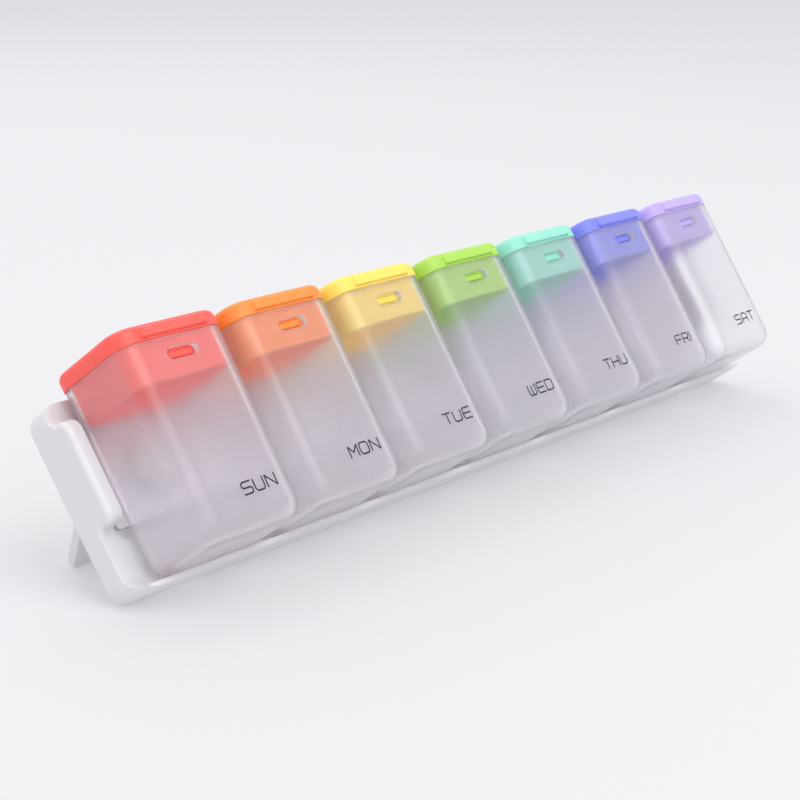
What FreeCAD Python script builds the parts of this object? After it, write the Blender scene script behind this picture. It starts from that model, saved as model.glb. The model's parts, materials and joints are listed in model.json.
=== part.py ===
import FreeCAD, Part
import math
import os
import re
import Sketcher

# A weekly pill organizer: seven lidded bottles held by magnets on a leaning tray.
#
# Row frame: +X runs along the row from the first day to the last, +Z is up, and the
# bottle fronts face -Y.  Each part is modelled upright in the tray's own frame, where
# X runs along the row, -Y ("out") is away from the tray and Z ("up") is along the
# bottles, and its Placement then leans it back.  Lengths are in millimetres.

SIZES = [
    # the row
    ("pitch", 32.0),
    ("lean_angle", 35.3),
    # a bottle, whose front slopes out a little towards the rim
    ("bottle_width", 29.0),
    ("bottle_depth_rim", 23.4),
    ("bottle_depth_base", 21.7),
    ("bottle_height", 41.8),
    ("bottle_corner", 4.8),
    ("bottle_foot", 4.0),
    ("bottle_wall", 1.4),
    # the magnet and its seat in the back wall
    ("magnet_diameter", 10.0),
    ("magnet_thickness", 1.5),
    ("magnet_bevel", 0.15),
    ("magnet_height", 23.0),
    ("magnet_gap", 0.1),
    ("seat_wall", 1.2),
    # the latch slot in the front wall and the groove that leads the latch to it
    ("slot_length", 8.2),
    ("slot_width", 2.4),
    ("slot_drop", 3.7),
    ("slot_round", 1.17),
    ("groove_depth", 0.7),
    ("groove_margin", 0.3),
    # the cap
    ("cap_rise", 3.7),
    ("cap_overhang", 0.2),
    ("cap_seat_gap", 0.05),
    ("cap_edge", 1.5),
    ("plug_length", 8.2),
    ("plug_gap", 0.15),
    ("plug_wall", 1.3),
    ("cap_roof", 1.6),
    ("latch_length", 6.2),
    ("latch_width", 1.5),
    ("latch_reach", 0.65),
    ("latch_edge", 0.3),
    ("lip_length", 18.4),
    ("lip_reach", 1.1),
    ("lip_thickness", 2.4),
    ("lip_lift", 0.5),
    ("lip_root", 3.0),
    ("lip_corner", 1.0),
    ("lip_edge", 0.5),
    # the tray
    ("end_gap", 1.5),
    ("ear_thickness", 3.5),
    ("ear_reach", 5.0),
    ("ear_foot", 13.8),
    ("ear_drop", 4.9),
    ("ear_cove", 1.8),
    ("ear_foot_round", 2.3),
    ("ear_head_round", 2.9),
    ("tray_drop", 0.6),
    ("ledge_thickness", 1.0),
    ("ledge_gap", 0.1),
    ("tray_corner", 4.0),
    ("tray_back", 7.3),
    ("tray_back_edge", 2.3),
    ("plate_gap", 0.3),
    ("plate_thickness", 2.9),
    ("cove_radius", 4.3),
    ("skirt_wall", 3.2),
    ("hollow_corner", 2.4),
    ("rib_thickness", 1.2),
    ("rib_set_back", 0.8),
    ("land_depth", 0.15),
    # the steel strip and its recess
    ("strip_width", 20.2),
    ("strip_thickness", 0.9),
    ("strip_margin", 2.2),
    ("strip_end_gap", 1.0),
    ("recess_depth", 1.0),
    ("recess_margin", 0.5),
    ("recess_corner", 2.0),
    # the folding legs
    ("leg_angle", 53.3),
    ("leg_width", 14.0),
    ("leg_thickness", 2.6),
    ("leg_inset", 10.5),
    ("leg_corner", 1.0),
    ("leg_toe", 0.8),
    ("hinge_height", 29.4),
    ("hinge_depth", 5.2),
    ("knuckle_radius", 1.6),
    ("heel_height", 1.8),
    ("pivot_radius", 1.1),
    ("pivot_length", 1.8),
    ("pivot_gap", 0.05),
    ("leg_side_gap", 0.2),
    ("boss_thickness", 2.4),
    ("boss_margin", 1.0),
    ("boss_set_back", 0.2),
    ("stop_width", 7.0),
    ("stop_rise", 3.0),
    ("stop_gap", 0.1),
    ("notch_gap", 0.4),
]

DAYS = ["sunday", "monday", "tuesday", "wednesday", "thursday", "friday", "saturday"]

doc = FreeCAD.newDocument("pill_organizer")
sheet = doc.addObject("Spreadsheet::Sheet", "Sizes")
for row, (alias, value) in enumerate(SIZES, start=1):
    sheet.set(f"A{row}", alias)
    sheet.set(f"B{row}", str(value))
    sheet.setAlias(f"B{row}", alias)
doc.recompute()

ALIASES = {alias for alias, _ in SIZES}
OUT_PLANE, SIDE_PLANE = "XZ_Plane", "YZ_Plane"
CLEAR = 1.0        # how far a cut runs past the surface it opens
SINK = 0.4         # how far an added lump starts inside the wall it grows from
FLAT = 1e-3        # lengths closer than this agree


def sized(text):
    """Turn 'pitch / 2' into the expression 'Sizes.pitch / 2'."""
    return re.sub(r"[a-z_]+", lambda m: "Sizes." + m.group() if m.group() in ALIASES else m.group(), text)


def value(text):
    """The number that an expression gives."""
    return float(sheet.evalExpression(sized(str(text))))


def bind(item, prop, text):
    """Tie one property of an object to the sizes."""
    item.setExpression(prop, sized(str(text)))


def new_body(label):
    """An empty body for one sub-part."""
    body = doc.addObject("PartDesign::Body", label)
    body.Label = label
    return body


def plane_of(body, role):
    """One of the body's own origin planes."""
    return next(f for f in body.Origin.OriginFeatures if f.Role == role)


def new_sketch(body, name, plane, offset):
    """A sketch on an origin plane, moved along its normal by an expression."""
    sketch = body.newObject("Sketcher::SketchObject", f"{body.Name}_{name}")
    sketch.AttachmentSupport = [(plane_of(body, plane), "")]
    sketch.MapMode = "FlatFace"
    bind(sketch, ".AttachmentOffset.Base.z", offset)
    return sketch


def place_point(sketch, edge, end, point):
    """Fix one vertex of a sketch at a pair of expressions."""
    for kind, text in zip(("DistanceX", "DistanceY"), point):
        index = sketch.addConstraint(Sketcher.Constraint(kind, edge, end, value(text)))
        bind(sketch, f"Constraints[{index}]", text)


def polygon(body, name, plane, points, offset="0"):
    """A closed outline through points given as pairs of expressions."""
    sketch = new_sketch(body, name, plane, offset)
    spots = [FreeCAD.Vector(value(a), value(b), 0) for a, b in points]
    total = len(spots)
    for i in range(total):
        sketch.addGeometry(Part.LineSegment(spots[i], spots[(i + 1) % total]), False)
    for i in range(total):
        sketch.addConstraint(Sketcher.Constraint("Coincident", i, 2, (i + 1) % total, 1))
    for i, point in enumerate(points):
        place_point(sketch, i, 1, point)
    return sketch


def rectangle(body, name, plane, low, high, offset="0"):
    """A rectangle between two opposite corners."""
    corners = [low, (high[0], low[1]), high, (low[0], high[1])]
    return polygon(body, name, plane, corners, offset)


def circle(body, name, plane, centre, radius, offset="0"):
    """One circle."""
    sketch = new_sketch(body, name, plane, offset)
    spot = FreeCAD.Vector(value(centre[0]), value(centre[1]), 0)
    sketch.addGeometry(Part.Circle(spot, FreeCAD.Vector(0, 0, 1), value(radius)), False)
    place_point(sketch, 0, 3, centre)
    index = sketch.addConstraint(Sketcher.Constraint("Radius", 0, value(radius)))
    bind(sketch, f"Constraints[{index}]", radius)
    return sketch


def extrude(body, kind, sketch, length, both_ways=False, backwards=False):
    """Pad or pocket a sketch, and check that it changed the solid."""
    before = body.Shape.Volume if body.Tip else 0.0
    feature = body.newObject(f"PartDesign::{kind}", f"{sketch.Name}_{kind.lower()}")
    feature.Profile = sketch
    feature.SideType = "Symmetric" if both_ways else "One side"
    feature.Reversed = backwards
    bind(feature, "Length", length)
    doc.recompute()
    grown = body.Shape.Volume - before
    if (grown > 0) != (kind == "Pad") or abs(grown) < 1e-3:
        raise ValueError(f"{feature.Name} changed the volume by {grown}")
    return feature


def pad(body, sketch, length, **ways):
    """Add material."""
    return extrude(body, "Pad", sketch, length, **ways)


def pocket(body, sketch, length, **ways):
    """Remove material."""
    return extrude(body, "Pocket", sketch, length, **ways)


def round_edges(body, name, radius, wanted):
    """Fillet the edges that a test picks by their bounding box."""
    edges = body.Tip.Shape.Edges
    names = [f"Edge{i}" for i, edge in enumerate(edges, start=1) if wanted(edge.BoundBox)]
    if not names:
        raise ValueError(f"{body.Name} has no edge for {name}")
    fillet = body.newObject("PartDesign::Fillet", f"{body.Name}_{name}")
    fillet.Base = (fillet.BaseFeature, names)
    bind(fillet, "Radius", radius)
    doc.recompute()
    if "Invalid" in fillet.State or not fillet.Shape.isValid():
        raise ValueError(f"{fillet.Name} failed on {len(names)} edges")
    return fillet


def near(a, b):
    """True when two lengths agree."""
    return abs(a - b) < FLAT


def along(box, axis):
    """True when an edge's box is long along one axis only."""
    spans = {"X": box.XLength, "Y": box.YLength, "Z": box.ZLength}
    return all((span > FLAT) == (name == axis) for name, span in spans.items())


# ---------------------------------------------------------------- the bottles

FRONT_SLOPE = "(bottle_depth_rim - bottle_depth_base) / bottle_height"
SLOT_HEIGHT = "(bottle_height - slot_drop)"


def front_at(height):
    """How far out the bottle's front face is at a height."""
    return f"(bottle_depth_base + ({height}) * {FRONT_SLOPE})"


def make_bottle(label):
    """One bottle: a shell with rounded corners, a magnet seat and a latch slot."""
    body = new_body(label)
    side = polygon(body, "side", SIDE_PLANE, [
        ("0", "0"),
        ("-bottle_depth_base", "0"),
        ("-bottle_depth_rim", "bottle_height"),
        ("0", "bottle_height"),
    ])
    pad(body, side, "bottle_width", both_ways=True)
    tall = value("bottle_height") - FLAT
    round_edges(body, "corners", "bottle_corner", lambda b: b.ZLength > tall)
    round_edges(body, "foot", "bottle_foot", lambda b: near(b.ZMax, 0))

    shell = body.newObject("PartDesign::Thickness", f"{label}_shell")
    faces = shell.BaseFeature.Shape.Faces
    top = value("bottle_height")
    rim = next(i for i, face in enumerate(faces, start=1) if near(face.BoundBox.ZMin, top))
    shell.Base = (shell.BaseFeature, [f"Face{rim}"])
    shell.Reversed = True
    bind(shell, "Value", "bottle_wall")
    doc.recompute()

    seat_depth = "magnet_thickness + magnet_gap"
    centre = ("0", "magnet_height")
    seat = circle(body, "seat", OUT_PLANE, centre,
                  "magnet_diameter / 2 + magnet_gap + seat_wall", "bottle_wall / 2")
    pad(body, seat, f"{seat_depth} + seat_wall - bottle_wall / 2")
    hole = circle(body, "seat_hole", OUT_PLANE, centre, "magnet_diameter / 2 + magnet_gap")
    pocket(body, hole, seat_depth, backwards=True)

    half = "slot_length / 2"
    low, high = f"{SLOT_HEIGHT} - slot_width / 2", f"{SLOT_HEIGHT} + slot_width / 2"
    inside = f"{front_at(SLOT_HEIGHT)} - bottle_wall - {CLEAR}"
    slot = rectangle(body, "slot", OUT_PLANE, (f"-{half}", low), (half, high), inside)
    pocket(body, slot, f"bottle_wall + {2 * CLEAR}", backwards=True)
    slot_end, bottom, top = value(half), value(low), value(high)
    round_edges(body, "slot_ends", "slot_round",
                lambda b: along(b, "Y") and near(abs(b.XMin), slot_end)
                and (near(b.ZMin, bottom) or near(b.ZMin, top)))

    inner = f"{front_at('bottle_height')} - bottle_wall"
    inner_low = f"{front_at(SLOT_HEIGHT)} - bottle_wall"
    groove = polygon(body, "groove", SIDE_PLANE, [
        (f"-({inner_low} - {CLEAR})", SLOT_HEIGHT),
        (f"-({inner_low} + groove_depth)", SLOT_HEIGHT),
        (f"-({inner} + groove_depth)", "bottle_height"),
        (f"-({inner} + groove_depth)", f"bottle_height + {CLEAR}"),
        (f"-({inner_low} - {CLEAR})", f"bottle_height + {CLEAR}"),
    ])
    pocket(body, groove, "latch_length + 2 * groove_margin", both_ways=True)
    return body


def make_magnet(label):
    """A disc magnet, glued in the bottle's seat."""
    body = new_body(label)
    disc = circle(body, "disc", OUT_PLANE, ("0", "magnet_height"), "magnet_diameter / 2", "magnet_gap / 2")
    pad(body, disc, "magnet_thickness")
    bevel = body.newObject("PartDesign::Chamfer", f"{label}_bevel")
    edges = enumerate(bevel.BaseFeature.Shape.Edges, start=1)
    bevel.Base = (bevel.BaseFeature, [f"Edge{i}" for i, edge in edges if edge.BoundBox.YLength < FLAT])
    bind(bevel, "Size", "magnet_bevel")
    return body


# ---------------------------------------------------------------- the caps

def make_cap(label):
    """One cap: a flanged lid with a hollow plug, a latch and a finger lip."""
    body = new_body(label)
    plug_foot = "(bottle_height - plug_length)"
    plug_half = "bottle_width / 2 - bottle_wall - plug_gap"
    plug_back = "bottle_wall + plug_gap"
    cap_foot, cap_top = "(bottle_height + cap_seat_gap)", "(bottle_height + cap_seat_gap + cap_rise)"

    plug = polygon(body, "plug", SIDE_PLANE, [
        (f"-({plug_back})", plug_foot),
        (f"-({front_at(plug_foot)} - bottle_wall - plug_gap)", plug_foot),
        (f"-({front_at(cap_foot)} - bottle_wall - plug_gap)", f"{cap_foot} + {SINK}"),
        (f"-({plug_back})", f"{cap_foot} + {SINK}"),
    ])
    pad(body, plug, f"2 * ({plug_half})", both_ways=True)
    tall = value("plug_length") - FLAT
    round_edges(body, "plug_corners", "bottle_corner - bottle_wall - plug_gap", lambda b: b.ZLength > tall)

    flange = polygon(body, "flange", SIDE_PLANE, [
        ("cap_overhang", cap_foot),
        ("-(bottle_depth_rim + cap_overhang)", cap_foot),
        ("-(bottle_depth_rim + cap_overhang)", cap_top),
        ("cap_overhang", cap_top),
    ])
    pad(body, flange, "bottle_width + 2 * cap_overhang", both_ways=True)
    foot, top = value(cap_foot), value(cap_top)
    round_edges(body, "flange_corners", "bottle_corner + cap_overhang",
                lambda b: along(b, "Z") and near(b.ZMin, foot) and near(b.ZMax, top))
    round_edges(body, "top_edge", "cap_edge", lambda b: near(b.ZMin, top) and near(b.ZMax, top))

    hollow_top = f"({cap_top} - cap_roof)"
    hollow = polygon(body, "hollow", SIDE_PLANE, [
        (f"-({plug_back} + plug_wall)", f"{plug_foot} - {CLEAR}"),
        (f"-({front_at(plug_foot)} - bottle_wall - plug_gap - plug_wall)", f"{plug_foot} - {CLEAR}"),
        (f"-({front_at(plug_foot)} - bottle_wall - plug_gap - plug_wall)", hollow_top),
        (f"-({plug_back} + plug_wall)", hollow_top),
    ])
    pocket(body, hollow, f"2 * ({plug_half} - plug_wall)", both_ways=True)
    inner_half, roof = value(f"{plug_half} - plug_wall"), value(hollow_top)
    round_edges(body, "hollow_corners", "bottle_corner - bottle_wall - plug_gap - plug_wall",
                lambda b: along(b, "Z") and near(abs(b.XMin), inner_half) and near(b.ZMax, roof))

    lip_foot = f"({cap_foot} + lip_lift)"
    front = "bottle_depth_rim + cap_overhang"
    lip = polygon(body, "lip", SIDE_PLANE, [
        (f"-({front} - lip_root)", lip_foot),
        (f"-({front} + lip_reach)", lip_foot),
        (f"-({front} + lip_reach)", f"{lip_foot} + lip_thickness"),
        (f"-({front} - lip_root)", f"{lip_foot} + lip_thickness"),
    ])
    pad(body, lip, "lip_length", both_ways=True)
    face = -value(f"{front} + lip_reach")
    round_edges(body, "lip_ends", "lip_corner", lambda b: along(b, "Z") and near(b.YMin, face))
    round_edges(body, "lip_edges", "lip_edge", lambda b: along(b, "X") and near(b.YMin, face))

    latch_half = "latch_width / 2"
    latch_front = f"{front_at(SLOT_HEIGHT)} - bottle_wall + latch_reach - plug_gap"
    start = f"{front_at(plug_foot)} - bottle_wall - plug_gap - plug_wall / 2"
    latch = rectangle(body, "latch", OUT_PLANE, ("-latch_length / 2", f"{SLOT_HEIGHT} - {latch_half}"),
                      ("latch_length / 2", f"{SLOT_HEIGHT} + {latch_half}"), start)
    pad(body, latch, f"{latch_front} - ({start})")
    nose = -value(latch_front)
    round_edges(body, "latch_edges", "latch_edge",
                lambda b: near(b.YMin, nose) and near(b.YMax, nose))
    return body


# ---------------------------------------------------------------- the tray

TRAY_HALF = f"({len(DAYS) // 2} * pitch + bottle_width / 2 + end_gap + ear_thickness)"
EAR_INNER = f"({TRAY_HALF} - ear_thickness)"
TRAY_HEAD = "(bottle_height - tray_drop)"
EAR_HEAD = f"({TRAY_HEAD} - ear_drop)"
LEDGE_TOP = "(-ledge_gap)"
LEDGE_FOOT = "(-ledge_gap - ledge_thickness)"
PLATE_BACK = "(plate_gap + plate_thickness)"       # distances behind the bottles' backs
RECESS_FLOOR = "(plate_gap + recess_depth)"
STRIP_LOW = "(magnet_height - strip_width / 2)"
STRIP_HIGH = "(magnet_height + strip_width / 2)"
LEG_OUTER = f"({TRAY_HALF} - leg_inset)"
LEG_INNER = f"({LEG_OUTER} - leg_width)"
HOLLOW_LOW = f"({LEDGE_FOOT} + skirt_wall + {SINK})"
# the tray rests on a narrow level land, cut along the lowest line of its rounded back edge
LEAN_SIN, LEAN_COS = "sin(lean_angle * 1deg)", "cos(lean_angle * 1deg)"
LAND_BACK = f"(tray_back - tray_back_edge + (tray_back_edge - land_depth) * {LEAN_SIN})"
LAND_UP = f"({LEDGE_FOOT} + tray_back_edge - (tray_back_edge - land_depth) * {LEAN_COS})"


def tray_blank(body):
    """The outline of the tray, as thick as its ears reach."""
    blank = rectangle(body, "outline", OUT_PLANE, (f"-{TRAY_HALF}", LEDGE_FOOT),
                      (TRAY_HALF, TRAY_HEAD), "-tray_back")
    pad(body, blank, "tray_back + ear_reach")
    round_edges(body, "corners", "tray_corner", lambda b: along(b, "Y"))
    back = value("tray_back")
    round_edges(body, "back_edge", "tray_back_edge", lambda b: near(b.YMin, back) and near(b.YMax, back))


def tray_valley(body):
    """Open the front between the ears, and step the ends down below and above them."""
    past = f"-(ear_reach + {CLEAR})"
    face, above = "plate_gap", f"{TRAY_HEAD} + {CLEAR}"
    valley = rectangle(body, "valley", SIDE_PLANE, (past, LEDGE_TOP), (face, above))
    pocket(body, valley, f"2 * {EAR_INNER}", both_ways=True)
    low = rectangle(body, "low_ends", SIDE_PLANE, (past, LEDGE_TOP), (face, "ear_foot"))
    pocket(body, low, f"2 * {TRAY_HALF} + {CLEAR}", both_ways=True)
    high = rectangle(body, "high_ends", SIDE_PLANE, (past, EAR_HEAD), (face, above))
    pocket(body, high, f"2 * {TRAY_HALF} + {CLEAR}", both_ways=True)


def tray_ears(body):
    """Round the ears' steps and the cove that holds the bottles' back corners."""
    face, reach = value("plate_gap"), -value("ear_reach")
    ledge, foot, head = value(LEDGE_TOP), value("ear_foot"), value(EAR_HEAD)
    round_edges(body, "cove", "cove_radius",
                lambda b: along(b, "X") and near(b.YMin, face) and near(b.ZMin, ledge))
    for name, depth, height, radius in (
        ("ear_foot_in", face, foot, "ear_cove"),
        ("ear_head_in", face, head, "ear_cove"),
        ("ear_foot_out", reach, foot, "ear_foot_round"),
        ("ear_head_out", reach, head, "ear_head_round"),
    ):
        round_edges(body, name, radius,
                    lambda b, d=depth, h=height: along(b, "X") and near(b.YMin, d) and near(b.ZMin, h))


def tray_recess(body):
    """The shallow recess for the steel strip."""
    half = f"({EAR_INNER} - recess_margin)"
    low, high = f"{STRIP_LOW} - strip_margin", f"{STRIP_HIGH} + strip_margin"
    recess = rectangle(body, "recess", OUT_PLANE, (f"-{half}", low), (half, high), f"-{RECESS_FLOOR}")
    pocket(body, recess, f"recess_depth + {SINK}", backwards=True)
    floor = value(RECESS_FLOOR)
    round_edges(body, "recess_corners", "recess_corner",
                lambda b: along(b, "Y") and near(b.YMax, floor) and near(abs(b.XMin), value(half)))


def tray_hollow(body):
    """The hollow back, with ribs between the bottles."""
    half = f"({TRAY_HALF} - skirt_wall)"
    low, high = HOLLOW_LOW, f"{TRAY_HEAD} - skirt_wall"
    hollow = rectangle(body, "hollow", OUT_PLANE, (f"-{half}", low), (half, high), f"-tray_back - {CLEAR}")
    pocket(body, hollow, f"tray_back + {CLEAR} - {PLATE_BACK}", backwards=True)
    floor = value(PLATE_BACK)
    round_edges(body, "hollow_corners", "hollow_corner",
                lambda b: along(b, "Y") and near(b.YMin, floor) and near(abs(b.XMin), value(half)))
    for step in (-2, -1, 0, 1, 2):
        centre = f"({step} * pitch)"
        rib = rectangle(body, f"rib_{step + 3}", OUT_PLANE,
                        (f"{centre} - rib_thickness / 2", f"{low} - {SINK}"),
                        (f"{centre} + rib_thickness / 2", f"{high} + {SINK}"), f"-{PLATE_BACK} - {SINK}")
        pad(body, rib, f"tray_back - {PLATE_BACK} - rib_set_back + {SINK}", backwards=True)


def tray_hinges(body):
    """Two bosses and a stop rib for each leg."""
    half_height = "(knuckle_radius + boss_margin)"
    low, high = f"hinge_height - {half_height}", f"hinge_height + {half_height}"
    outer_wall = f"({TRAY_HALF} - skirt_wall + {SINK})"
    inner_side = f"({LEG_INNER} - leg_side_gap - boss_thickness)"
    for side, name in ((-1, "left"), (1, "right")):
        for part, (near_x, far_x) in (
            ("inner", (inner_side, f"({LEG_INNER} - leg_side_gap)")),
            ("outer", (f"({LEG_OUTER} + leg_side_gap)", outer_wall)),
        ):
            ends = (near_x, far_x) if side > 0 else (f"-{far_x}", f"-{near_x}")
            boss = rectangle(body, f"boss_{name}_{part}", OUT_PLANE, (ends[0], low), (ends[1], high),
                             f"-{PLATE_BACK} + {SINK}")
            pad(body, boss, f"tray_back - {PLATE_BACK} - boss_set_back + {SINK}", backwards=True)
        start = f"({inner_side})" if side > 0 else f"-({LEG_OUTER} + leg_side_gap + pivot_length)"
        bore = circle(body, f"bore_{name}", SIDE_PLANE, ("hinge_depth", "hinge_height"),
                      "pivot_radius + pivot_gap", start)
        pocket(body, bore, "leg_width + 2 * leg_side_gap + pivot_length + boss_thickness", backwards=True)


def tray_stops(body):
    """A stop rib over each leg's heel, whose face lies flat on the opened leg's end."""
    out, up = "sin(leg_angle * 1deg)", "cos(leg_angle * 1deg)"
    reach = "(heel_height + stop_gap)"
    face = [
        (f"hinge_depth - {reach} * {out}", f"hinge_height + {reach} * {up}"),
        (f"hinge_depth - {reach} * {out} + leg_thickness / 2 * {up}",
         f"hinge_height + {reach} * {up} + leg_thickness / 2 * {out}"),
    ]
    root, top = f"{PLATE_BACK} - {SINK}", "hinge_height + knuckle_radius + stop_rise"
    outline = [face[0], face[1], (face[1][0], top), (root, top), (root, face[0][1])]
    for side, name in ((-1, "left"), (1, "right")):
        middle = f"({side}) * ({LEG_INNER} + leg_width / 2)"
        rib = polygon(body, f"stop_{name}", SIDE_PLANE, outline, middle)
        pad(body, rib, "stop_width", both_ways=True)


def tray_notches(body):
    """A notch in the bottom wall, where a fingertip pulls out each folded leg."""
    depth = "tray_back - hinge_depth + leg_thickness / 2 + notch_gap"
    for side, name in ((-1, "left"), (1, "right")):
        near_x, far_x = f"({LEG_INNER} - notch_gap)", f"({LEG_OUTER} + notch_gap)"
        ends = (near_x, far_x) if side > 0 else (f"-{far_x}", f"-{near_x}")
        notch = rectangle(body, f"notch_{name}", OUT_PLANE, (ends[0], f"{LEDGE_FOOT} - {CLEAR}"),
                          (ends[1], f"{HOLLOW_LOW} + {SINK}"), f"-tray_back - {CLEAR}")
        pocket(body, notch, f"{depth} + {CLEAR}", backwards=True)


def tray_land(body):
    """The narrow level land that the tray rests on."""
    corners = []
    for across, down in ((-3 * CLEAR, 0), (3 * CLEAR, 0), (3 * CLEAR, -CLEAR), (-3 * CLEAR, -CLEAR)):
        corners.append((f"{LAND_BACK} + ({across}) * {LEAN_COS} - ({down}) * {LEAN_SIN}",
                        f"{LAND_UP} + ({across}) * {LEAN_SIN} + ({down}) * {LEAN_COS}"))
    land = polygon(body, "land", SIDE_PLANE, corners)
    pocket(body, land, f"2 * {TRAY_HALF} + {CLEAR}", both_ways=True)


def make_tray():
    """The moulded tray."""
    body = new_body("tray")
    tray_blank(body)
    tray_valley(body)
    tray_ears(body)
    tray_recess(body)
    tray_hollow(body)
    tray_hinges(body)
    tray_stops(body)
    tray_notches(body)
    tray_land(body)
    return body


def make_strip():
    """The steel strip, glued in the tray's recess, that the magnets hold to."""
    body = new_body("steel_strip")
    half = f"({EAR_INNER} - recess_margin - strip_end_gap)"
    bar = rectangle(body, "bar", OUT_PLANE, (f"-{half}", STRIP_LOW), (half, STRIP_HIGH), f"-{RECESS_FLOOR}")
    pad(body, bar, "strip_thickness")
    round_edges(body, "corners", "strip_thickness", lambda b: along(b, "Y"))
    return body


# ---------------------------------------------------------------- the legs

AXIS_RISE = f"((hinge_height - {LAND_UP}) * {LEAN_COS} - (hinge_depth - {LAND_BACK}) * {LEAN_SIN})"


def make_leg(label):
    """One folding leg, upright about its own pivot axis: +Y is its back."""
    body = new_body(label)
    half = "leg_thickness / 2"
    tilt = "(leg_angle - lean_angle) * 1deg"
    foot = f"-({AXIS_RISE} - {half} * sin({tilt})) / cos({tilt})"
    bar = polygon(body, "bar", SIDE_PLANE, [
        (f"-{half}", "0"),
        (f"-{half}", foot),
        (half, foot),
        (half, "heel_height"),
        ("0", "heel_height"),
        ("0", "0"),
    ])
    pad(body, bar, "leg_width", both_ways=True)
    sole, back = value(foot), value(half)
    round_edges(body, "foot_corners", "leg_corner", lambda b: along(b, "Y") and near(b.ZMin, sole))
    round_edges(body, "toe", "leg_toe", lambda b: along(b, "X") and near(b.ZMin, sole) and near(b.YMin, back))
    knuckle = circle(body, "knuckle", SIDE_PLANE, ("0", "0"), "knuckle_radius")
    pad(body, knuckle, "leg_width", both_ways=True)
    pivot = circle(body, "pivot", SIDE_PLANE, ("0", "0"), "pivot_radius")
    pad(body, pivot, "leg_width + 2 * pivot_length", both_ways=True)
    return body


# ---------------------------------------------------------------- everything in its place

def lean_back(body, along_row, back="0", up="0", turn="-lean_angle"):
    """Put a part in the row frame: along the row, then leaned back with the tray."""
    back_from, up_from = f"(({back}) - {LAND_BACK})", f"(({up}) - {LAND_UP})"
    bind(body, ".Placement.Base.x", along_row)
    bind(body, ".Placement.Base.y", f"{back_from} * {LEAN_COS} + {up_from} * {LEAN_SIN}")
    bind(body, ".Placement.Base.z", f"{up_from} * {LEAN_COS} - {back_from} * {LEAN_SIN}")
    bind(body, ".Placement.Rotation.Axis.x", "1")
    bind(body, ".Placement.Rotation.Axis.y", "0")
    bind(body, ".Placement.Rotation.Axis.z", "0")
    bind(body, ".Placement.Rotation.Angle", turn)


parts = []
for part in (make_tray(), make_strip()):
    lean_back(part, "0")
    parts.append(part)
for side, label in ((-1, "left_leg"), (1, "right_leg")):
    leg = make_leg(label)
    lean_back(leg, f"({side}) * ({LEG_INNER} + leg_width / 2)", "hinge_depth", "hinge_height",
              "leg_angle - lean_angle")
    parts.append(leg)
for index, day in enumerate(DAYS):
    place = f"({index - len(DAYS) // 2}) * pitch"
    for part in (make_bottle(f"{day}_bottle"), make_magnet(f"{day}_magnet"), make_cap(f"{day}_cap")):
        lean_back(part, place)
        parts.append(part)
doc.recompute()

faults = [item.Label for item in doc.Objects if "Invalid" in item.State or "Error" in item.State]
faults += [part.Label for part in parts if part.Shape.isNull() or not part.Shape.isValid()]
faults += [part.Label for part in parts if len(part.Shape.Solids) != 1]
if faults:
    raise ValueError(f"These objects failed: {sorted(set(faults))}")

os.makedirs("parts", exist_ok=True)
for part in parts:
    part.Shape.exportStep(f"parts/{part.Label}.step")
    print(part.Label, round(part.Shape.Volume, 1), "mm3")
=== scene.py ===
# %% [markdown]
# # A weekly pill organizer
#
# Seven translucent bottles with coloured caps hang on a white tray, which leans back on
# two folding legs. The CAD frame fixes where everything is and how it moves. This script
# gives each piece the shape and finish that the eye sees. We start by loading the frame,
# because each piece's place in the row is worked out from it.

# %% Load the frame
import json
import math

import bmesh
import bpy
from mathutils import Matrix, Vector


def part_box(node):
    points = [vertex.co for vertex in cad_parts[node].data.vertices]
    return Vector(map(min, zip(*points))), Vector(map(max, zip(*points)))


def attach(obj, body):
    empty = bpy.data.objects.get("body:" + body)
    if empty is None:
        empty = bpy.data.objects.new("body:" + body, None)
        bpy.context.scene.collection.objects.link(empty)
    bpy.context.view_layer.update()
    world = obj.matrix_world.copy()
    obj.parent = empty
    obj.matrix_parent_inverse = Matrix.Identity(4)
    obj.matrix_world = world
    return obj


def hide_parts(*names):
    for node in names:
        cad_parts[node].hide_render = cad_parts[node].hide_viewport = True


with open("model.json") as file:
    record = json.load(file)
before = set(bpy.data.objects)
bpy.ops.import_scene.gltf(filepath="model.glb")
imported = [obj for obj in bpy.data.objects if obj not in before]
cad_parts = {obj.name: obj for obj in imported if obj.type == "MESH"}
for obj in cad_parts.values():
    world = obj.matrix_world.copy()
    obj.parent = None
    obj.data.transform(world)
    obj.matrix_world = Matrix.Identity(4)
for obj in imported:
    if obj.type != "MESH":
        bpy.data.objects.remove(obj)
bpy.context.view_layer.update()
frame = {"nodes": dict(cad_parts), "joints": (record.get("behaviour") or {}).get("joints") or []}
MM = 0.001
DAYS = ["sunday", "monday", "tuesday", "wednesday", "thursday", "friday", "saturday"]
print("CAD nodes:", len(frame["nodes"]))

# %% [markdown]
# ## One leaning frame for everything
#
# The tray leans back, so its pieces are awkward to model where they stand. A maker draws
# them upright on the bench and leans them afterwards, and so do we. In the bench frame,
# X runs along the row, -Y points out of the tray and Z runs up along a bottle. The two
# directions come from the joints: caps pull along Z and bottles pull along -Y. Each
# bottle's zero point is found from its magnet, whose place in the bottle is known.

# %% Find the bench frame of each bottle
joints = {joint["name"]: joint for joint in frame["joints"]}
UP = Vector(joints["sunday_cap_pull"]["axis"]).normalized()
OUT = Vector(joints["sunday_bottle_pull"]["axis"]).normalized()
MAGNET_HEIGHT = 23.0 * MM
MAGNET_MIDDLE = 0.8 * MM


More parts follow.
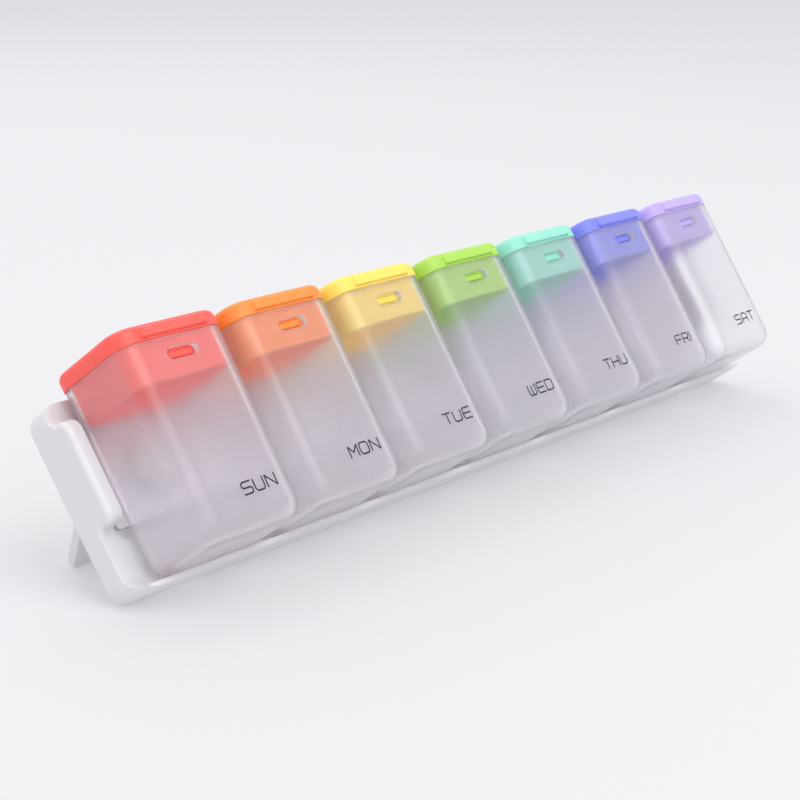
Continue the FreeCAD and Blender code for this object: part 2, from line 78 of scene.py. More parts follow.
def bench_to_row(day):
    """The matrix that takes a piece from the bench to its day's place in the row."""
    low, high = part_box(f"{day}_magnet")
    zero = (low + high) / 2 - OUT * MAGNET_MIDDLE - UP * MAGNET_HEIGHT
    turn = Matrix((Vector((1, 0, 0)), -OUT, UP)).transposed()
    return Matrix.Translation(zero) @ turn.to_4x4()


wednesday_place = bench_to_row("wednesday").translation
print("Wednesday's bottle stands at", [round(v / MM, 2) for v in wednesday_place])

# %% [markdown]
# ## Tools of the bench
#
# Operators work on whatever is selected, so each piece starts with an empty selection.
# Every piece begins as a block or a disc at its real size. The two helpers that add one
# apply its scale at once, so that a bevel in millimetres is even in every direction.

# %% Blocks and discs


def alone(piece):
    """Select one piece and nothing else."""
    bpy.ops.object.select_all(action="DESELECT")
    piece.select_set(True)
    bpy.context.view_layer.objects.active = piece


def add_block(name, low, high):
    """A box between two corners given in millimetres on the bench."""
    bpy.ops.object.select_all(action="DESELECT")
    low, high = Vector(low) * MM, Vector(high) * MM
    bpy.ops.mesh.primitive_cube_add(size=1, location=(low + high) / 2, scale=high - low)
    block = bpy.context.object
    block.name = name
    bpy.ops.object.transform_apply(location=True, rotation=True, scale=True)
    return block


def add_disc(name, centre, radius, depth, sides=64):
    """A short round bar that points out of the tray, centred at a place in millimetres."""
    bpy.ops.object.select_all(action="DESELECT")
    bpy.ops.mesh.primitive_cylinder_add(vertices=sides, radius=radius * MM, depth=depth * MM,
                                        location=Vector(centre) * MM, rotation=(math.pi / 2, 0, 0))
    disc = bpy.context.object
    disc.name = name
    bpy.ops.object.transform_apply(location=True, rotation=True, scale=True)
    return disc


# %% [markdown]
# ## Picking by place
#
# By hand we would click on the edges to round. A script can't click, so it picks verts,
# edges or faces by where they are or which way they point. Then the same operators as
# by hand do the work: a bevel on the picked edges rounds a corner.

# %% Picking and rounding
SAME_PLACE = 0.01


def pick(piece, elements, test):
    """Go into edit mode with only the verts, edges or faces that pass a test selected."""
    alone(piece)
    bpy.ops.object.mode_set(mode="EDIT")
    modes = {"verts": "VERT", "edges": "EDGE", "faces": "FACE"}
    bpy.ops.mesh.select_mode(type=modes[elements])
    bpy.ops.mesh.select_all(action="DESELECT")
    mesh = bmesh.from_edit_mesh(piece.data)
    chosen = [element for element in getattr(mesh, elements) if test(element)]
    for element in chosen:
        element.select_set(True)
    mesh.select_flush_mode()
    bmesh.update_edit_mesh(piece.data)
    return len(chosen)


def done():
    """Leave edit mode."""
    bpy.ops.object.mode_set(mode="OBJECT")


def round_off(piece, radius, segments, test):
    """Bevel the edges that pass a test into an arc."""
    pick(piece, "edges", test)
    bpy.ops.mesh.bevel(offset=radius * MM, offset_type="OFFSET", segments=segments, affect="EDGES")
    done()


def upright(edge):
    """True for an edge that runs up the bench."""
    way = edge.verts[1].co - edge.verts[0].co
    return abs(way.z) > 0.9 * way.length


def vert_at(height):
    """A test for verts at a height in millimetres."""
    return lambda vert: abs(vert.co.z - height * MM) < SAME_PLACE * MM


def level_at(height):
    """A test for edges that lie at a height in millimetres."""
    return lambda edge: all(vert_at(height)(vert) for vert in edge.verts)


def in_front(edge, depth):
    """True for an edge that reaches further out than a depth in millimetres."""
    return min(vert.co.y for vert in edge.verts) < -depth * MM


# %% [markdown]
# ## Modifiers, applied at once
#
# Walls, holes and small radii come from modifiers. Each one is applied as soon as it is
# set, because the next step picks edges of the mesh that it leaves. Smooth shading comes
# last, with weighted normals, so that the flats stay flat beside their round edges.

# %% Modifiers and shading


def apply(piece, kind, **settings):
    """Add a modifier, set it and apply it."""
    alone(piece)
    modifier = piece.modifiers.new(kind.title(), kind)
    for name, setting in settings.items():
        setattr(modifier, name, setting)
    bpy.ops.object.modifier_apply(modifier=modifier.name)


def combine(piece, tool, operation):
    """Join a second block to a piece, or cut it away, and remove it."""
    apply(piece, "BOOLEAN", object=tool, operation=operation, solver="EXACT")
    bpy.data.objects.remove(tool, do_unlink=True)


def smooth(piece, crisp=40):
    """Smooth shading that keeps the flats flat and the sharp edges crisp."""
    alone(piece)
    bpy.ops.object.shade_smooth_by_angle(angle=math.radians(crisp))
    apply(piece, "WEIGHTED_NORMAL", keep_sharp=True)


# %% [markdown]
# ## Shader maths as plain Python
#
# A node graph is quicker to read as an expression. This small class wraps one output
# socket, so that adding or multiplying two of them adds the Math node by itself.

# %% The socket wrapper
OBJECT_COORDS = 3


class Wire:
    """One output socket, with the arithmetic that the finishes use."""

    def __init__(self, tree, socket):
        self.tree = tree
        self.socket = socket

    def math(self, operation, other):
        return node(self.tree, "ShaderNodeMath", {"operation": operation}, {0: self, 1: other})

    def __add__(self, other):
        return self.math("ADD", other)

    def __mul__(self, other):
        return self.math("MULTIPLY", other)

    __radd__ = __add__
    __rmul__ = __mul__


def node(tree, kind, settings=None, inputs=None, output=0):
    """Add any node: its settings first, then the values or wires of its sockets."""
    made = tree.nodes.new(kind)
    for name, setting in (settings or {}).items():
        setattr(made, name, setting)
    for name, value in (inputs or {}).items():
        if isinstance(value, Wire):
            tree.links.new(value.socket, made.inputs[name])
        else:
            made.inputs[name].default_value = value
    return Wire(tree, made.outputs[output])


def between(factor, low, high):
    """A number that runs from low to high."""
    return factor * (high - low) + low


def blend_colours(factor, first, second):
    """A colour that runs from the first to the second."""
    colours = {0: factor, 6: (*first, 1), 7: (*second, 1)}
    return node(factor.tree, "ShaderNodeMix", {"data_type": "RGBA"}, colours, output=2)


def grain(tree, size, detail=2.0):
    """Noise whose lumps are about so many millimetres across, read at the surface."""
    place = node(tree, "ShaderNodeTexCoord", output=OBJECT_COORDS)
    lumps = {"Vector": place, "Scale": 1 / (size * MM), "Detail": detail}
    return node(tree, "ShaderNodeTexNoise", inputs=lumps)


def new_finish(name, **constants):
    """A material with one Principled shader whose constant sockets are set."""
    material = bpy.data.materials.new(name)
    material.use_nodes = True
    shader = material.node_tree.nodes["Principled BSDF"]
    for socket, value in constants.items():
        shader.inputs[socket.replace("_", " ")].default_value = value
    return material, material.node_tree, shader


def glow(shader, colour, strength):
    """Let a finish give off a little light of its own."""
    shader.inputs["Emission Color"].default_value = (*colour, 1)
    shader.inputs["Emission Strength"].default_value = strength


def bumpy(tree, shader, height, depth):
    """Send a height to the shader's Normal, for bumps of a depth in millimetres."""
    bump = node(tree, "ShaderNodeBump", inputs={"Height": height, "Distance": depth * MM})
    tree.links.new(bump.socket, shader.inputs["Normal"])


# %% [markdown]
# ## The moulded white tray
#
# The tray and legs are injection moulded and leave a mould with a fine satin surface.
# Under soft light that shows as a slightly uneven gloss, so the roughness wanders a
# little and a very fine bump breaks up the highlights. The plastic isn't quite opaque,
# and a little subsurface light keeps its shadows from going hard.

# %% White plastic


def white_plastic():
    """Satin white moulded plastic."""
    material, tree, shader = new_finish("white_plastic", IOR=1.49, Subsurface_Weight=0.25,
                                        Subsurface_Scale=1.2 * MM)
    shader.inputs["Subsurface Radius"].default_value = (1.0, 0.9, 0.95)
    cloud = grain(tree, 9.0)
    colour = blend_colours(cloud, (0.76, 0.76, 0.78), (0.80, 0.79, 0.81))
    tree.links.new(colour.socket, shader.inputs["Base Color"])
    tree.links.new(between(cloud, 0.36, 0.48).socket, shader.inputs["Roughness"])
    bumpy(tree, shader, grain(tree, 0.35), 0.01)
    return material


WHITE = white_plastic()
print("finish:", WHITE.name)

# %% [markdown]
# ## Frosted bottle plastic
#
# The bottles are clear plastic with a matte texture on the mould. Light passes through
# but scatters at each face: a cap's plug, which nearly touches the wall, shows clearly,
# and the steel strip far behind it is only a blur. Rough transmission through walls of
# real thickness does exactly that, so no painted blur is needed. Inside a milky wall some
# light also scatters many times and comes out again all over it. Rough transmission
# leaves that part out, so the plastic is given a faint glow in its place.

# %% Frosted plastic
FROSTED_GLOW = 0.034


def frosted_plastic():
    """Milky translucent plastic with a matte face."""
    material, tree, shader = new_finish("frosted_plastic", IOR=1.40, Transmission_Weight=0.98)
    cloud = grain(tree, 6.0)
    colour = blend_colours(cloud, (0.98, 0.965, 0.985), (0.995, 0.98, 0.995))
    tree.links.new(colour.socket, shader.inputs["Base Color"])
    tree.links.new(between(cloud, 0.285, 0.325).socket, shader.inputs["Roughness"])
    glow(shader, (0.93, 0.88, 1.0), FROSTED_GLOW)
    return material


FROSTED = frosted_plastic()
print("finish:", FROSTED.name)

# %% [markdown]
# ## Coloured cap plastic
#
# Each cap is softer plastic in its day's colour. It is dyed right through, so light that
# enters comes out nearby in a stronger tint: that is what subsurface scattering is for.
# A faint glow in the same colour keeps the plugs vivid behind the frosted wall.

# %% Cap colours
CAP_COLOURS = {
    "sunday": (0.95, 0.115, 0.09),
    "monday": (0.95, 0.27, 0.045),
    "tuesday": (0.93, 0.69, 0.12),
    "wednesday": (0.39, 0.67, 0.09),
    "thursday": (0.29, 0.71, 0.58),
    "friday": (0.21, 0.23, 0.79),
    "saturday": (0.50, 0.39, 0.80),
}
CAP_GLOW = 0.11
DEEPER, LEAST_SPREAD = 0.94, 0.3


def cap_plastic(day):
    """Soft satin plastic, dyed through in the day's colour."""
    material, tree, shader = new_finish(f"{day}_cap_plastic", IOR=1.48, Subsurface_Weight=0.35,
                                        Subsurface_Scale=1.5 * MM)
    colour = CAP_COLOURS[day]
    shader.inputs["Subsurface Radius"].default_value = tuple(LEAST_SPREAD + channel for channel in colour)
    deep = [DEEPER * channel for channel in colour]
    cloud = grain(tree, 7.0)
    tree.links.new(blend_colours(cloud, deep, colour).socket, shader.inputs["Base Color"])
    tree.links.new(between(cloud, 0.34, 0.44).socket, shader.inputs["Roughness"])
    glow(shader, colour, CAP_GLOW)
    bumpy(tree, shader, grain(tree, 0.3), 0.008)
    return material


CAPS = {day: cap_plastic(day) for day in DAYS}
print("finishes:", [finish.name for finish in CAPS.values()])

# %% [markdown]
# ## Metal and ink
#
# The strip is cold-rolled steel: its rolling marks run along the row, so the noise is
# stretched along X. The magnets are nickel plated and only faintly marked. Both metals
# are set a little lighter than real ones, because they are mostly seen through frosted
# walls, which would go dark in front of them. The letters are a near-black pad-printed
# ink that lies slightly proud of the wall.

# %% Steel, nickel and ink
ROLLING_MARKS = (40, 2500, 2500)


def rolled_steel():
    """Steel with rolling marks along the row."""
    material, tree, shader = new_finish("rolled_steel", Metallic=1.0)
    place = node(tree, "ShaderNodeTexCoord", output=OBJECT_COORDS)
    along = node(tree, "ShaderNodeMapping", inputs={"Vector": place, "Scale": ROLLING_MARKS})
    marks = node(tree, "ShaderNodeTexNoise", inputs={"Vector": along, "Scale": 1.0, "Detail": 3.0})
    colour = blend_colours(marks, (0.68, 0.67, 0.70), (0.78, 0.77, 0.80))
    tree.links.new(colour.socket, shader.inputs["Base Color"])
    tree.links.new(between(marks, 0.28, 0.43).socket, shader.inputs["Roughness"])
    bumpy(tree, shader, marks, 0.01)
    return material


def nickel_plate():
    """Bright plating with a faint cloud."""
    material, tree, shader = new_finish("nickel_plate", Metallic=1.0)
    cloud = grain(tree, 2.0)
    colour = blend_colours(cloud, (0.56, 0.55, 0.54), (0.64, 0.63, 0.61))
    tree.links.new(colour.socket, shader.inputs["Base Color"])
    tree.links.new(between(cloud, 0.22, 0.32).socket, shader.inputs["Roughness"])
    return material


def letter_ink():
    """Near-black ink with a soft sheen."""
    material, tree, shader = new_finish("letter_ink")
    cloud = grain(tree, 0.6)
    colour = blend_colours(cloud, (0.010, 0.010, 0.014), (0.022, 0.022, 0.028))
    tree.links.new(colour.socket, shader.inputs["Base Color"])
    tree.links.new(between(cloud, 0.40, 0.55).socket, shader.inputs["Roughness"])
    return material


STEEL = rolled_steel()
NICKEL = nickel_plate()
INK = letter_ink()
print("finishes:", STEEL.name, NICKEL.name, INK.name)

# %% [markdown]
# ## A bottle, drawn upright
#
# A bottle is a box whose front slopes out a little towards the rim, with large round
# corners and a round foot. It could be made as an outside less an inside, but then two
# shapes must agree at every corner. We shape the outside only and let Solidify grow the
# wall inwards, which keeps the wall even round every corner, as a mould does.

# %% The bottle's outside and wall
WIDTH, HEIGHT, WALL = 29.0, 41.8, 1.4
BASE_DEPTH, RIM_DEPTH = 21.7, 23.4
CORNER, FOOT = 4.8, 4.0
CORNER_STEPS, FOOT_STEPS = 14, 10


def front_at(height):
    """How far out the front wall is at a height."""
    return BASE_DEPTH + (RIM_DEPTH - BASE_DEPTH) * height / HEIGHT


def slope_front(piece, low, high, inset=0.0):
    """Move the front verts of a block so that they follow the bottle's sloping front."""
    for height in (low, high):
        at = vert_at(height)
        pick(piece, "verts", lambda vert: at(vert) and vert.co.y < -BASE_DEPTH / 2 * MM)
        there = min(vert.co.y for vert in piece.data.vertices) / MM
        bpy.ops.transform.translate(value=(0, (-(front_at(height) - inset) - there) * MM, 0))
        done()


bottle = add_block("bottle", (-WIDTH / 2, -BASE_DEPTH, 0), (WIDTH / 2, 0, HEIGHT))
rim = vert_at(HEIGHT)
pick(bottle, "verts", lambda vert: rim(vert) and vert.co.y < -BASE_DEPTH / 2 * MM)
bpy.ops.transform.translate(value=(0, (BASE_DEPTH - RIM_DEPTH) * MM, 0))
done()
round_off(bottle, CORNER, CORNER_STEPS, upright)
round_off(bottle, FOOT, FOOT_STEPS, level_at(0))
pick(bottle, "faces", lambda face: face.normal.z > 0.99)
bpy.ops.mesh.delete(type="FACE")
done()
apply(bottle, "SOLIDIFY", thickness=WALL * MM, offset=-1, use_even_offset=True)
print("bottle shell:", len(bottle.data.polygons), "faces")

# %% [markdown]
# ## The latch slot and the magnet's seat
#
# Near the rim, a slot with round ends takes the cap's latch. Behind, a round seat holds
# the magnet flush with the outside of the wall. Both are cut with Boolean tools, because
# a hole with a round outline in a flat wall is exactly what a Boolean does cleanly. Each
# cutting tool sticks out a clear millimetre past the wall, because two faces that lie in
# one plane confuse a Boolean.

# %% Slot, seat and edges
SLOT_LENGTH, SLOT_WIDTH, SLOT_HEIGHT = 8.2, 2.4, 38.1
SEAT_RADIUS, SEAT_DEPTH, SEAT_WALL = 5.1, 1.6, 1.2
SLOT_STEPS, NEARLY_HALF = 8, 0.49
RIM_EDGE, EDGE_STEPS, SHARP = 0.28, 3, math.radians(50)
CLEAR = 1.0


def runs_out(edge):
    """True for an edge that points out of the tray."""
    return abs((edge.verts[0].co - edge.verts[1].co).y) > 1 * MM


slot = add_block("slot", (-SLOT_LENGTH / 2, -RIM_DEPTH - CLEAR, SLOT_HEIGHT - SLOT_WIDTH / 2),
                 (SLOT_LENGTH / 2, -front_at(SLOT_HEIGHT) + WALL + CLEAR, SLOT_HEIGHT + SLOT_WIDTH / 2))
round_off(slot, SLOT_WIDTH * NEARLY_HALF, SLOT_STEPS, runs_out)
combine(bottle, slot, "DIFFERENCE")
seat_back = -(SEAT_DEPTH + SEAT_WALL)
boss = add_disc("boss", (0, (seat_back - WALL / 2) / 2, MAGNET_HEIGHT / MM), SEAT_RADIUS + SEAT_WALL,
                -seat_back - WALL / 2)
combine(bottle, boss, "UNION")
hole = add_disc("hole", (0, (CLEAR - SEAT_DEPTH) / 2, MAGNET_HEIGHT / MM), SEAT_RADIUS, SEAT_DEPTH + CLEAR)
combine(bottle, hole, "DIFFERENCE")
apply(bottle, "BEVEL", width=RIM_EDGE * MM, segments=EDGE_STEPS, limit_method="ANGLE", angle_limit=SHARP,
      use_clamp_overlap=False)
smooth(bottle)
print("bottle:", len(bottle.data.polygons), "faces")

# %% [markdown]
# ## The cap
#
# A cap is a flange that sits on the rim, a hollow plug that fills the mouth, a latch on
# the plug's front and a lip for the fingertip. Each starts as a block, gets its own
# corner radius and is joined to the flange, so one moulding comes out, as in the press.

# %% The cap's flange and plug
CAP_FOOT, CAP_RISE, OVERHANG = HEIGHT + 0.05, 3.7, 0.2
CAP_TOP = CAP_FOOT + CAP_RISE
CAP_EDGE, PLUG_FOOT, PLUG_GAP, PLUG_WALL = 1.5, HEIGHT - 8.2, 0.15, 1.3
ROOF, SUNK = 1.6, 0.4
CAP_EDGE_STEPS, PLUG_STEPS, HOLLOW_STEPS = 7, 10, 8

cap = add_block("cap", (-WIDTH / 2 - OVERHANG, -RIM_DEPTH - OVERHANG, CAP_FOOT),
                (WIDTH / 2 + OVERHANG, OVERHANG, CAP_TOP))
round_off(cap, CORNER + OVERHANG, CORNER_STEPS, upright)
round_off(cap, CAP_EDGE, CAP_EDGE_STEPS, level_at(CAP_TOP))
inset = WALL + PLUG_GAP
plug_head = CAP_FOOT + SUNK
plug = add_block("plug", (-WIDTH / 2 + inset, -BASE_DEPTH, PLUG_FOOT),
                 (WIDTH / 2 - inset, -inset, plug_head))
slope_front(plug, PLUG_FOOT, plug_head, inset)
round_off(plug, CORNER - inset, PLUG_STEPS, upright)
combine(cap, plug, "UNION")
inset += PLUG_WALL
hollow = add_block("hollow", (-WIDTH / 2 + inset, -front_at(PLUG_FOOT) + inset, PLUG_FOOT - CLEAR),
                   (WIDTH / 2 - inset, -inset, CAP_TOP - ROOF))
round_off(hollow, CORNER - inset, HOLLOW_STEPS, upright)
combine(cap, hollow, "DIFFERENCE")
print("cap without lip and latch:", len(cap.data.polygons), "faces")

# %% [markdown]
# ## Lip, latch and the cap's edges
#
# The lip stands just clear of the rim, so a fingernail gets under it. Its upper edge is
# drawn back, which makes a bar into a wedge. The latch is a low bar that shows inside the
# bottle's slot. Last, every sharp edge gets the small radius that a mould leaves, because
# a perfectly sharp edge never catches the light.

# %% Lip, latch and edges
LIP_LENGTH, LIP_REACH, LIP_THICKNESS, LIP_LIFT = 18.4, 1.1, 2.4, 0.5
LIP_ROOT, LIP_TAPER, LIP_CORNER, LIP_EDGE = 3.0, 0.8, 1.0, 0.5
LATCH_LENGTH, LATCH_WIDTH, LATCH_REACH = 6.2, 1.5, 0.65
LATCH_ROOT, LATCH_EDGE, MOULD_EDGE = 1.6, 0.3, 0.2
CORNER_ARC, EDGE_ARC, LATCH_ARC = 5, 4, 3

lip_foot = CAP_FOOT + LIP_LIFT
lip_head = lip_foot + LIP_THICKNESS
cap_front = RIM_DEPTH + OVERHANG
lip_front = cap_front + LIP_REACH
lip = add_block("lip", (-LIP_LENGTH / 2, -lip_front, lip_foot),
                (LIP_LENGTH / 2, -cap_front + LIP_ROOT, lip_head))
head = vert_at(lip_head)
pick(lip, "verts", lambda vert: head(vert) and vert.co.y < -cap_front * MM)
bpy.ops.transform.translate(value=(0, LIP_TAPER * MM, 0))
done()
round_off(lip, LIP_CORNER, CORNER_ARC, lambda edge: upright(edge) and in_front(edge, lip_front - SAME_PLACE))
for height in (lip_foot, lip_head):
    at = level_at(height)
    round_off(lip, LIP_EDGE, EDGE_ARC, lambda edge: at(edge) and in_front(edge, cap_front))
combine(cap, lip, "UNION")

latch_front = front_at(SLOT_HEIGHT) - WALL + LATCH_REACH - PLUG_GAP
latch = add_block("latch", (-LATCH_LENGTH / 2, -latch_front, SLOT_HEIGHT - LATCH_WIDTH / 2),
                  (LATCH_LENGTH / 2, -latch_front + LATCH_ROOT, SLOT_HEIGHT + LATCH_WIDTH / 2))
round_off(latch, LATCH_EDGE, LATCH_ARC,
          lambda edge: all(abs(vert.co.y + latch_front * MM) < SAME_PLACE * MM for vert in edge.verts))
combine(cap, latch, "UNION")
apply(cap, "BEVEL", width=MOULD_EDGE * MM, segments=EDGE_STEPS, limit_method="ANGLE", angle_limit=SHARP,
      use_clamp_overlap=False)
smooth(cap)
print("cap:", len(cap.data.polygons), "faces")

# %% [markdown]
# ## Letters for the days
#
# Each bottle is marked with its weekday in three plain letters. They are drawn as strokes
# of a pen with cut corners, in a cell one unit wide and one tall. A text object would
# take its shapes from a font, and a few strokes of our own are enough here.

# %% Pen strokes
STROKES = {
    "A": [[(0, 0), (0, 0.78), (0.22, 1), (0.78, 1), (1, 0.78), (1, 0)], [(0, 0.4), (1, 0.4)]],
    "D": [[(0, 0), (0, 1), (0.8, 1), (1, 0.8), (1, 0.2), (0.8, 0), (0, 0), (0, 0.2)]],
    "E": [[(1, 1), (0.15, 1), (0, 0.85), (0, 0.15), (0.15, 0), (1, 0)], [(0, 0.5), (0.95, 0.5)]],
    "F": [[(0, 0), (0, 0.85), (0.15, 1), (1, 1)], [(0, 0.5), (0.9, 0.5)]],
    "H": [[(0, 0), (0, 1)], [(1, 0), (1, 1)], [(0, 0.5), (1, 0.5)]],
    "I": [[(0, 0), (0, 1)]],
    "M": [[(0, 0), (0, 1), (0.5, 0.4), (1, 1), (1, 0)]],
    "N": [[(0, 0), (0, 1), (1, 0), (1, 1)]],
    "O": [[(0.5, 0), (0.18, 0), (0, 0.18), (0, 0.82), (0.18, 1),
           (0.82, 1), (1, 0.82), (1, 0.18), (0.82, 0), (0.5, 0)]],
    "R": [[(0, 0), (0, 1), (0.85, 1), (1, 0.85), (1, 0.6), (0.85, 0.45), (0, 0.45)],
          [(0.55, 0.45), (1, 0)]],
    "S": [[(1, 1), (0.15, 1), (0, 0.86), (0, 0.63), (0.13, 0.5),
           (0.87, 0.5), (1, 0.37), (1, 0.14), (0.85, 0), (0, 0)]],
    "T": [[(0, 1), (1, 1)], [(0.5, 1), (0.5, 0)]],
    "U": [[(0, 1), (0, 0.18), (0.18, 0), (0.82, 0), (1, 0.18), (1, 1)]],
    "W": [[(0, 1), (0, 0.18), (0.18, 0), (0.82, 0), (1, 0.18), (1, 1)], [(0.5, 0.9), (0.5, 0)]],
}
print("letters drawn:", "".join(STROKES))

# %% [markdown]
# ## From strokes to a film of ink
#
# A curve with a round bevel turns the strokes into tubes, and pressing them nearly flat
# leaves a film that follows the sloping front wall. Every straight piece of a stroke is
# a line of its own, lapped a little over the next, because a sharp bend within one line
# would pinch the tube.

# %% Write a word
LETTER_WIDTH, LETTER_HEIGHT, LETTER_GAP = 2.6, 2.5, 0.8
WORD_MIDDLE, WORD_FOOT = 3.7, 7.05
PEN, LAP, FILM = 0.19, 0.45, 0.03


def letter_width(letter):
    """How wide a letter is in millimetres: the I is a single upright."""
    return 0.0 if letter == "I" else LETTER_WIDTH


def write_word(word):
    """The ink film of one word, on the front of the bench bottle."""
    pen = bpy.data.curves.new(word, "CURVE")
    pen.dimensions = "3D"
    pen.bevel_depth = PEN
    pen.bevel_resolution = 3
    pen.use_fill_caps = True
    total = sum(letter_width(letter) for letter in word) + LETTER_GAP * (len(word) - 1)
    left = WORD_MIDDLE - total / 2
    for letter in word:
        for stroke in STROKES[letter]:
            path = [Vector((left + across * letter_width(letter), 0, WORD_FOOT + up * LETTER_HEIGHT))
                    for across, up in stroke]
            for start, end in zip(path, path[1:]):
                lap = (end - start).normalized() * PEN * LAP
                line = pen.splines.new("POLY")
                line.points.add(1)
                line.points[0].co = (*(start - lap), 1)
                line.points[1].co = (*(end + lap), 1)
        left += letter_width(letter) + LETTER_GAP
    ink = bpy.data.objects.new(word, pen)
    bpy.context.scene.collection.objects.link(ink)
    alone(ink)
    bpy.ops.object.convert(target="MESH")
    ink = bpy.context.object
    for vert in ink.data.vertices:
        vert.co.y = vert.co.y * FILM / PEN - front_at(vert.co.z)
        vert.co *= MM
    return ink


# %% [markdown]
# ## Seven of each
#
# One bottle and one cap are enough to model. Each day gets a copy with its own mesh,
# moved from the bench to its place in the row, and the bench pieces are thrown away.
# The move goes into the mesh, so every finished piece still has its origin at zero.

# %% Place the copies


def place_copy(master, day, name, finish):
    """A copy of a bench piece, in its day's place, that rides with its body."""
    piece = master.copy()
    piece.data = master.data.copy()
    bpy.context.scene.collection.objects.link(piece)
    piece.name = piece.data.name = name
    piece.data.transform(bench_to_row(day))
    piece.data.materials.clear()
    piece.data.materials.append(finish)
    return piece


for day in DAYS:
    shell = place_copy(bottle, day, f"{day}_bottle_shell", FROSTED)
    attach(shell, f"{day}_bottle")
    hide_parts(f"{day}_bottle")
    lid = place_copy(cap, day, f"{day}_cap_lid", CAPS[day])
    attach(lid, f"{day}_cap")
    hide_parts(f"{day}_cap")
    word = write_word(day[:3].upper())
    letters = place_copy(word, day, f"{day}_letters", INK)
    bpy.data.objects.remove(word, do_unlink=True)
    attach(letters, f"{day}_bottle")
for master in (bottle, cap):
    bpy.data.objects.remove(master, do_unlink=True)
print("placed", len(DAYS), "bottles, caps and words")

# %% [markdown]
# ## Softer ends for the tray
#
# The frame's tray has the right shape but its ends are knife sharp, and a moulded edge
# never is. We copy its mesh, merge the doubled points, dissolve the flat faces' extra
# edges and bevel only the outline at each end. The copy also carries the old shading
# normals, which would leave dark streaks beside the new round, so they are cleared.

# %% The tray's rounded ends
END_ROUND, END_STEPS = 1.2, 5
TRAY_FRONT, OUTLINE_LOW, OUTLINE_HIGH = 0.35, 4.7, 36.4
DOUBLED, FLAT = 0.002, math.radians(0.05)
OUTLINE_TURN = math.radians(60)

tray = frame["nodes"]["tray"].copy()
tray.data = tray.data.copy()
bpy.context.scene.collection.objects.link(tray)
tray.name = tray.data.name = "tray_body"
alone(tray)
bpy.ops.mesh.customdata_custom_splitnormals_clear()
bpy.ops.object.mode_set(mode="EDIT")
bpy.ops.mesh.select_all(action="SELECT")
bpy.ops.mesh.remove_doubles(threshold=DOUBLED * MM)
bpy.ops.mesh.dissolve_limited(angle_limit=FLAT)
done()
end_plane = max(vert.co.x for vert in tray.data.vertices)
row_to_bench = bench_to_row("wednesday").inverted()


def on_end(edge):
    """True for an edge of an ear's front outline, in the end plane of the tray."""
    for vert in edge.verts:
        place = row_to_bench @ vert.co / MM
        if end_plane - abs(vert.co.x) > SAME_PLACE * MM or place.y > TRAY_FRONT:
            return False
        if not OUTLINE_LOW < place.z < OUTLINE_HIGH:
            return False
    return edge.calc_face_angle(0) > OUTLINE_TURN


print("outline edges:", pick(tray, "edges", on_end))
bpy.ops.mesh.bevel(offset=END_ROUND * MM, offset_type="OFFSET", segments=END_STEPS, affect="EDGES",
                   clamp_overlap=False)
done()
smooth(tray)
tray.data.materials.clear()
tray.data.materials.append(WHITE)
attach(tray, "tray")
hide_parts("tray")

# %% [markdown]
# ## Finishes for the pieces that stay
#
# The strip, legs and magnets already have their real shape in the frame, so they only
# need their finish.

# %% Finish the CAD nodes


def finish_node(name, material):
    """Give a CAD node its finish."""
    slots = frame["nodes"][name].material_slots
    for place in slots:
        place.material = material
    if not slots:
        frame["nodes"][name].data.materials.append(material)


for name in ("left_leg", "right_leg"):
    finish_node(name, WHITE)
finish_node("steel_strip", STEEL)
for day in DAYS:
    finish_node(f"{day}_magnet", NICKEL)
print("finished nodes: legs, strip and", len(DAYS), "magnets")

# %% [markdown]
# ## A quiet studio
#
# The floor is a flat sheet of paper that runs on far behind the tray. White paper alone
# would go grey away from the lamps, so this one is darker and glows a little: it stays
# evenly pale, and shadows on it stay faint. A pale world fills in the rest.

# %% Floor and world
HALF_FLOOR = 3.0
PAPER_COLOUR, PAPER_GLOW = (0.44, 0.44, 0.44, 1), 0.335
WORLD_COLOUR, WORLD_STRENGTH = (0.97, 0.975, 1.0, 1), 0.85

bpy.ops.object.select_all(action="DESELECT")
bpy.ops.mesh.primitive_plane_add(size=2 * HALF_FLOOR, location=(0, 0, 0))
floor = bpy.context.object
floor.name = "studio_floor"
paper, _, paper_shader = new_finish("studio_paper", Base_Color=PAPER_COLOUR, Roughness=0.9)
glow(paper_shader, (0.95, 0.945, 1.0), PAPER_GLOW)
floor.data.materials.append(paper)

world = bpy.data.worlds.new("studio")
bpy.context.scene.world = world
world.use_nodes = True
background = world.node_tree.nodes["Background"]
background.inputs["Color"].default_value = WORLD_COLOUR
background.inputs["Strength"].default_value = WORLD_STRENGTH
print("floor", 2 * HALF_FLOOR, "m wide, world strength", WORLD_STRENGTH)

# %% [markdown]
# ## Two soft lamps
#
# A small lamp would throw hard shadows. Each of these is a square nearly a metre wide,
# just over a metre away. One stands in front and above, and a weaker one behind lights
# the caps' tops and the frosted walls from the far side. Lamps and camera all aim at one
# point, a little to the left of the row's middle.

# %% Lamps
TARGET = Vector((-12.1, 11.4, 18.8)) * MM
LAMP_SIZE = 0.9


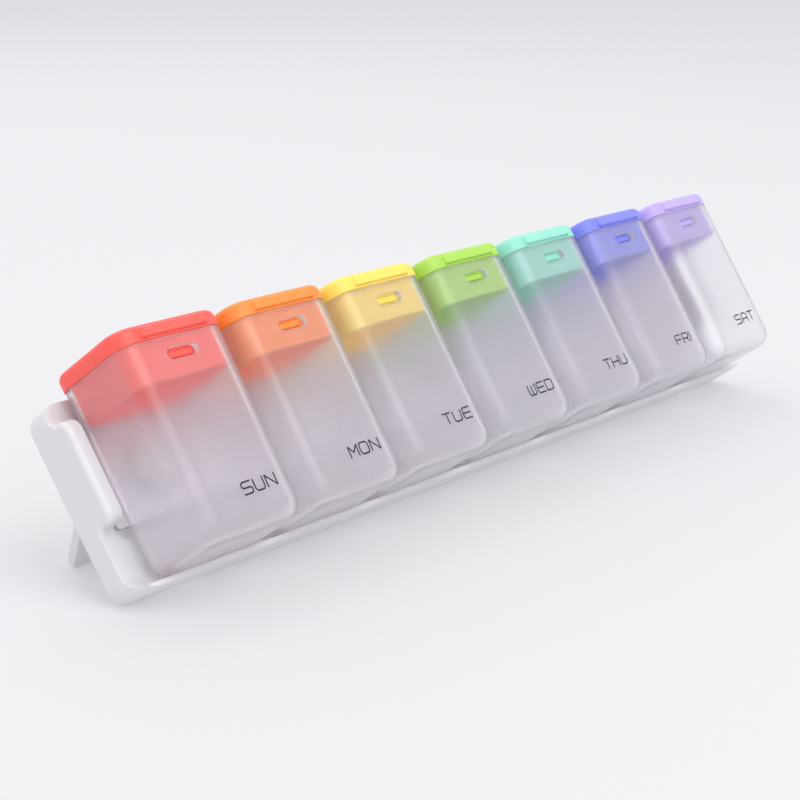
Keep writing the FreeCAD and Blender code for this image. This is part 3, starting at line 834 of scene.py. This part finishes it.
def add_light(name, azimuth, elevation, distance, power):
    """A square soft light, aimed where the camera looks. The angles are in degrees."""
    azimuth, elevation = math.radians(azimuth), math.radians(elevation)
    lamp = bpy.data.lights.new(name, "AREA")
    lamp.size = LAMP_SIZE
    lamp.energy = power
    holder = bpy.data.objects.new(name, lamp)
    bpy.context.scene.collection.objects.link(holder)
    toward = Vector((math.cos(elevation) * math.sin(azimuth), -math.cos(elevation) * math.cos(azimuth),
                     math.sin(elevation)))
    holder.location = TARGET + toward * distance
    holder.rotation_euler = toward.to_track_quat("Z", "Y").to_euler()
    print(name, "at", [round(v, 2) for v in holder.location], "with", power, "W")


add_light("key_light", azimuth=-8, elevation=52, distance=1.2, power=6.5)
add_light("back_light", azimuth=160, elevation=50, distance=1.3, power=3.5)

# %% [markdown]
# ## The camera
#
# A long lens from some way off keeps the near bottle from looming over the far one. The
# view looks slantwise along the row from its left end, a little from above.

# %% Camera
CAMERA_AZIMUTH, CAMERA_ELEVATION, CAMERA_DISTANCE = 51.07, 15.02, 457.0
LENS, SENSOR = 86.9, 36.0

lens = bpy.data.cameras.new("camera")
lens.lens, lens.sensor_width = LENS, SENSOR
lens.clip_start = 10 * MM
camera = bpy.data.objects.new("camera", lens)
bpy.context.scene.collection.objects.link(camera)
azimuth, elevation = math.radians(CAMERA_AZIMUTH), math.radians(CAMERA_ELEVATION)
view = Vector((math.sin(azimuth) * math.cos(elevation), math.cos(azimuth) * math.cos(elevation),
               -math.sin(elevation)))
camera.location = TARGET - view * CAMERA_DISTANCE * MM
camera.rotation_euler = view.to_track_quat("-Z", "Y").to_euler()
bpy.context.scene.camera = camera
print("camera at", [round(v, 3) for v in camera.location])

# %% [markdown]
# ## Light through many walls
#
# Along the row a ray passes many frosted faces, two for every wall. Each face costs a
# bounce, and a ray that runs out of bounces ends black, so the limit is raised.

# %% Bounces and colours
BOUNCES, DIFFUSE_BOUNCES = 32, 8
bpy.context.scene.view_settings.view_transform = "Standard"
bpy.context.scene.cycles.max_bounces = BOUNCES
bpy.context.scene.cycles.transmission_bounces = BOUNCES
bpy.context.scene.cycles.diffuse_bounces = DIFFUSE_BOUNCES
print("bounces:", BOUNCES)
